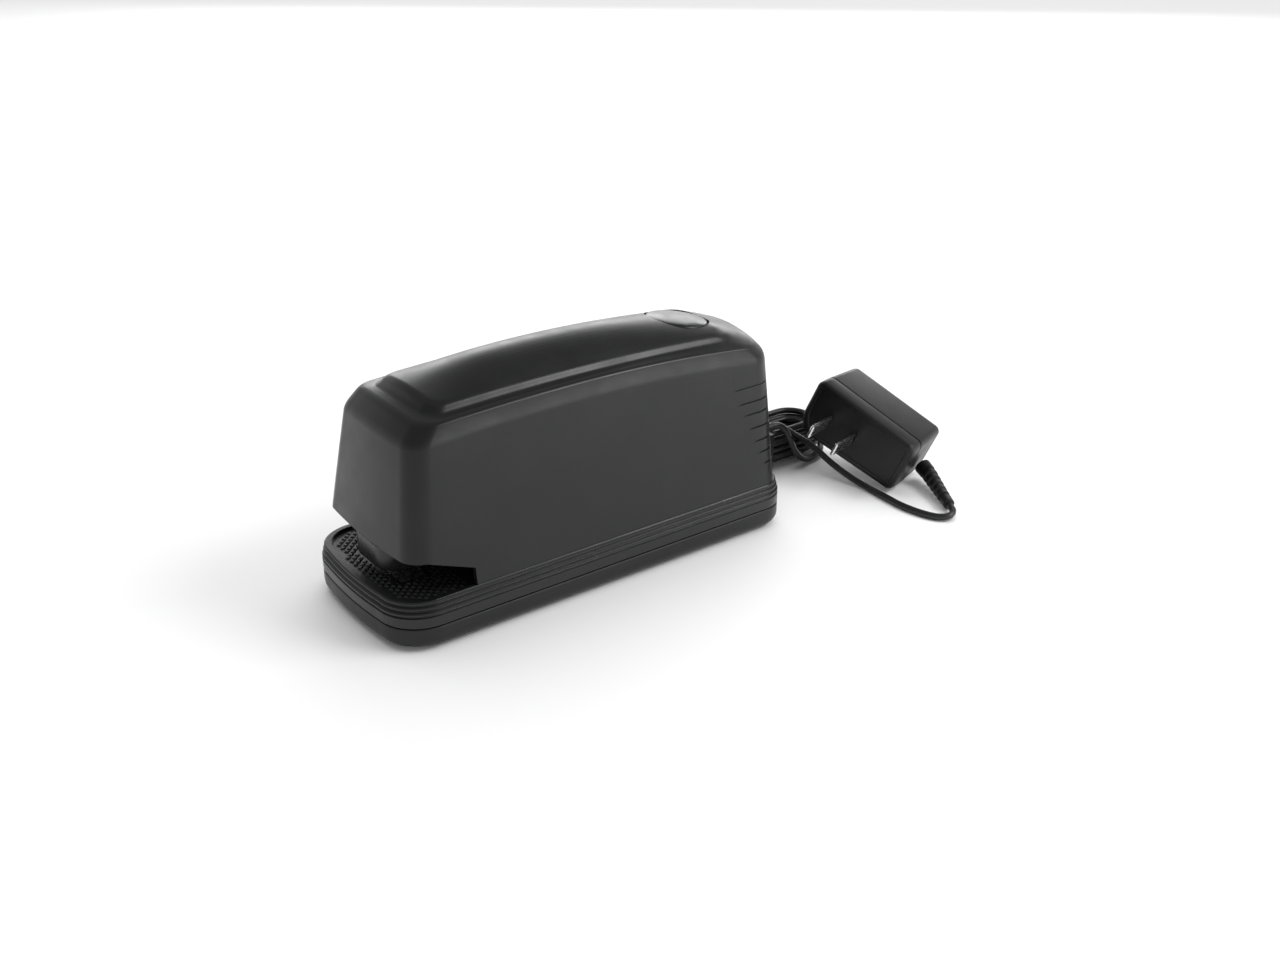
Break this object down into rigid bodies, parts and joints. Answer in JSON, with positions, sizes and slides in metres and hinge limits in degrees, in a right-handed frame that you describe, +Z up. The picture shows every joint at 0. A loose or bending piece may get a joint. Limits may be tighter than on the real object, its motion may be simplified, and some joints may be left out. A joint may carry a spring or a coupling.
{
  "type": "electric desktop stapler",
  "caption": "Black electric desktop stapler with a paper mouth at the front, a magazine release button on top, and a corded wall adapter.",
  "frame": {"origin": "bottom centre of the stapler, on the surface that its feet rest on", "axes": "+Z up, -Y towards the paper mouth at the front, +X to the stapler's right side seen from behind the mouth"},
  "size_m": [0.1114, 0.2579, 0.0891],
  "materials": {
    "black_abs": "satin moulded ABS",
    "black_gloss": "smooth moulded plastic",
    "rubber": "matt",
    "steel": "zinc plated",
    "bright_steel": "polished",
    "nylon": "natural acetal",
    "dark_nylon": "matt",
    "board": "solder mask",
    "cord": "soft PVC, satin"
  },
  "bodies": {
    "stapler": {"base_tray": "black_abs", "base_cover": "black_abs", "paper_stop": "black_abs", "casing": "black_abs", "adapter_body": "black_abs", "adapter_cover": "black_abs", "adapter_relief": "black_abs", "dc_plug": "black_abs", "rubber_foot_front_left": "rubber", "rubber_foot_front_right": "rubber", "rubber_foot_rear_left": "rubber", "rubber_foot_rear_right": "rubber", "base_screw_front": "steel", "base_screw_rear": "steel", "trigger_pin": "steel", "button_bracket": "steel", "button_spring": "steel", "latch_pin": "steel", "side_plate_left": "steel", "side_plate_right": "steel", "frame_spacer_front": "steel", "frame_spacer_rear": "steel", "crank_axle": "steel", "gear_second_axle": "steel", "gear_first_axle": "steel", "driver_guide_left": "steel", "driver_guide_right": "steel", "magazine_guide": "steel", "motor_can": "steel", "anvil": "bright_steel", "anvil_screw_left": "bright_steel", "anvil_screw_right": "bright_steel", "dc_plug_barrel": "bright_steel", "adapter_blade_1": "bright_steel", "adapter_blade_2": "bright_steel", "micro_switch": "dark_nylon", "motor_end_cap": "dark_nylon", "dc_jack": "dark_nylon", "circuit_board": "board", "cord_to_jack": "cord", "cord_hank": "cord", "cord_tie": "cord", "cord_to_adapter": "cord"},
    "magazine": {"magazine_channel": "steel", "staple_rail": "steel", "staple_strip": "bright_steel", "magazine_nose": "black_abs", "magazine_end": "black_abs", "pusher_rod": "steel", "pusher_spring": "steel"},
    "pusher_sled": {"pusher": "dark_nylon"},
    "button": {"release_button": "black_gloss"},
    "latch": {"latch_lever": "steel"},
    "driver": {"driver_carriage": "steel", "driver_blade": "bright_steel"},
    "crank": {"crank_gear": "nylon"},
    "second_gear": {"gear_second": "nylon"},
    "first_gear": {"gear_first": "nylon"},
    "motor_rotor": {"motor_pinion": "steel"},
    "trigger": {"paper_trigger": "dark_nylon"}
  },
  "joints": [
    {"name": "magazine_slide", "type": "slide", "parent": "stapler", "child": "magazine", "axis": [0, -1, 0], "range_m": [0, 0.09]},
    {"name": "pusher_slide", "type": "slide", "parent": "magazine", "child": "pusher_sled", "axis": [0, 1, 0], "range_m": [0, 0.044], "stiffness_N_per_m": 30, "springref_m": -0.03, "deforming": ["pusher_spring"]},
    {"name": "button_press", "type": "slide", "parent": "stapler", "child": "button", "axis": [0, -0.1478, -0.989], "range_m": [0, 0.0025], "stiffness_N_per_m": 400, "springref_m": -0.002, "deforming": ["button_spring"]},
    {"name": "latch_turn", "type": "hinge", "parent": "stapler", "child": "latch", "pos_m": [0, 0.046, 0.046], "axis": [1, 0, 0], "range_deg": [-22, 0]},
    {"name": "driver_stroke", "type": "slide", "parent": "stapler", "child": "driver", "axis": [0, 0, 1], "range_m": [-0.011, 0]},
    {"name": "crank_spin", "type": "hinge", "parent": "stapler", "child": "crank", "pos_m": [0.0025, -0.046, 0.057], "axis": [1, 0, 0], "continuous": true},
    {"name": "second_gear_spin", "type": "hinge", "parent": "stapler", "child": "second_gear", "pos_m": [0.0085, -0.024, 0.057], "axis": [1, 0, 0], "continuous": true},
    {"name": "first_gear_spin", "type": "hinge", "parent": "stapler", "child": "first_gear", "pos_m": [0.014, -0.002, 0.057], "axis": [1, 0, 0], "continuous": true},
    {"name": "motor_spin", "type": "hinge", "parent": "stapler", "child": "motor_rotor", "pos_m": [0.014, 0.02, 0.057], "axis": [1, 0, 0], "continuous": true},
    {"name": "trigger_tilt", "type": "hinge", "parent": "stapler", "child": "trigger", "pos_m": [0.013, -0.0502, 0.0116], "axis": [1, 0, 0], "range_deg": [-10, 0], "stiffness_Nm_per_rad": 0.02, "springref_deg": 17.19}
  ],
  "couplings": [
    {"joint": "second_gear_spin", "follows": "crank_spin", "ratio": -2.6667},
    {"joint": "first_gear_spin", "follows": "crank_spin", "ratio": 7.1111},
    {"joint": "motor_spin", "follows": "crank_spin", "ratio": -18.963},
    {"joint": "latch_turn", "follows": "button_press", "rad_per_m": -137}
  ]
}
